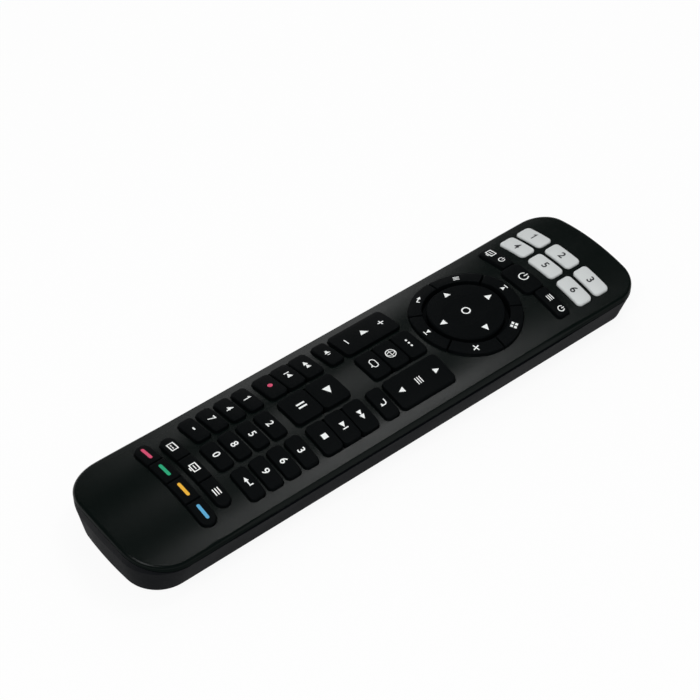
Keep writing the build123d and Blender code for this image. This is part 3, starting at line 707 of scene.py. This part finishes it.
# Bars on the four colour keys
bars = (("red_key", -16.2, print_red, "print_red"), ("green_key", -5.4, print_green, "print_green"),
        ("yellow_key", 5.4, print_amber, "print_amber"), ("blue_key", 16.2, print_blue, "print_blue"))
for key, x, material, slot in bars:
    printed(key + "_bar", key, mark["bar"], (x, -81.4), material)

# Floor, light and camera
room_level = 0.46             # even light from all round
ceiling_level = 0.018         # how bright the space overhead looks in reflections
floor_share = 0.9             # how much of the floor is plain white where it is seen; the rest takes shadow


def sum_of(tree, node, outputs):
    """Several outputs of one node added up, kept within 0 and 1."""
    total = node.outputs[outputs[0]]
    for label in outputs[1:]:
        adder = tree.nodes.new("ShaderNodeMath")
        adder.operation = "ADD"
        adder.use_clamp = True
        tree.links.new(total, adder.inputs[0])
        tree.links.new(node.outputs[label], adder.inputs[1])
        total = adder.outputs["Value"]
    return total


floor_mesh = bpy.data.meshes.new("floor")
floor_mesh.from_pydata([(-3, -3, 0), (3, -3, 0), (3, 3, 0), (-3, 3, 0)], [], [(0, 1, 2, 3)])
floor = added("floor", floor_mesh)
floor_material = bpy.data.materials.new("floor_paper")
floor_material.use_nodes = True
tree = floor_material.node_tree
paper = tree.nodes["Principled BSDF"]
paper.inputs["Base Color"].default_value = (0.9, 0.9, 0.9, 1)
paper.inputs["Roughness"].default_value = 0.9
paper.inputs["Specular IOR Level"].default_value = 0.1
glow = tree.nodes.new("ShaderNodeEmission")
seen = tree.nodes.new("ShaderNodeLightPath")
share = tree.nodes.new("ShaderNodeMath")
share.operation = "MULTIPLY"
share.inputs[1].default_value = floor_share
blend = tree.nodes.new("ShaderNodeMixShader")
seen_or_mirrored = sum_of(tree, seen, ("Is Camera Ray", "Is Glossy Ray", "Is Transmission Ray"))
tree.links.new(seen_or_mirrored, share.inputs[0])
tree.links.new(share.outputs["Value"], blend.inputs["Fac"])
tree.links.new(paper.outputs["BSDF"], blend.inputs[1])
tree.links.new(glow.outputs["Emission"], blend.inputs[2])
# Seen from below the floor is clear, so it doesn't hide the underside
side = tree.nodes.new("ShaderNodeNewGeometry")
clear = tree.nodes.new("ShaderNodeBsdfTransparent")
one_way = tree.nodes.new("ShaderNodeMixShader")
tree.links.new(side.outputs["Backfacing"], one_way.inputs["Fac"])
tree.links.new(blend.outputs["Shader"], one_way.inputs[1])
tree.links.new(clear.outputs["BSDF"], one_way.inputs[2])
tree.links.new(one_way.outputs["Shader"], tree.nodes["Material Output"].inputs["Surface"])
dress(floor, floor_material)

# A studio room: white seen directly, and in reflections white at the horizon and dark overhead
world = bpy.data.worlds.new("studio")
bpy.context.scene.world = world
world.use_nodes = True
tree = world.node_tree
room = tree.nodes["Background"]
room.inputs["Color"].default_value = (1, 1, 1, 1)
seen = tree.nodes.new("ShaderNodeLightPath")
place = tree.nodes.new("ShaderNodeTexCoord")
split = tree.nodes.new("ShaderNodeSeparateXYZ")
fade = tree.nodes.new("ShaderNodeMapRange")
fade.inputs["From Min"].default_value = 0.02
fade.inputs["From Max"].default_value = 0.22
fade.inputs["To Min"].default_value = 1.0
fade.inputs["To Max"].default_value = ceiling_level
mirrored = tree.nodes.new("ShaderNodeMix")
direct = tree.nodes.new("ShaderNodeMix")
mirrored.inputs["A"].default_value = room_level
direct.inputs["B"].default_value = 1.0
tree.links.new(place.outputs["Generated"], split.inputs["Vector"])
tree.links.new(split.outputs["Z"], fade.inputs["Value"])
tree.links.new(fade.outputs["Result"], mirrored.inputs["B"])
tree.links.new(sum_of(tree, seen, ("Is Glossy Ray", "Is Transmission Ray")), mirrored.inputs["Factor"])
tree.links.new(mirrored.outputs["Result"], direct.inputs["A"])
tree.links.new(seen.outputs["Is Camera Ray"], direct.inputs["Factor"])
tree.links.new(direct.outputs["Result"], room.inputs["Strength"])


def softbox(name, place, size, radiance):
    """Rectangular lamp aimed at the middle of the floor; its power follows from how bright it looks."""
    lamp = bpy.data.lights.new(name, "AREA")
    lamp.shape = "RECTANGLE"
    lamp.size, lamp.size_y = size
    lamp.energy = radiance * pi * size[0] * size[1]
    fixture = added(name, lamp)
    fixture.location = place
    fixture.rotation_euler = (-Vector(place)).to_track_quat("-Z", "Y").to_euler()


# Lamps: place, width and length, and how bright each looks
softbox("front_light", (0.35, -0.55, 1.1), (0.5, 0.5), 8.7)
softbox("right_edge_light", (-0.01, 0.365, 0.85), (0.15, 0.27), 8.9)
softbox("left_edge_light", (-0.72, 0.335, 0.29), (0.24, 0.27), 1.6)
softbox("middle_light", (-0.48, 0.39, 0.74), (0.26, 0.22), 2.7)

# Camera at the photo's viewing angle: its place and its three directions
camera = added("camera", bpy.data.cameras.new("camera"))
camera_place = Vector((345.7, -285.9, 478.9)) * mm
camera.data.sensor_width = 36
camera.data.lens = 94.16
camera.data.clip_start = 0.01
camera_right = Vector((0.62847, 0.77783, 0.0))
camera_up = Vector((-0.55055, 0.44483, 0.70641))
camera_back = Vector((0.54947, -0.44396, 0.70780))
turned = Matrix((camera_right, camera_up, camera_back)).transposed().to_4x4()
camera.matrix_world = Matrix.Translation(camera_place) @ turned
bpy.context.scene.camera = camera
bpy.context.scene.view_settings.view_transform = "Standard"
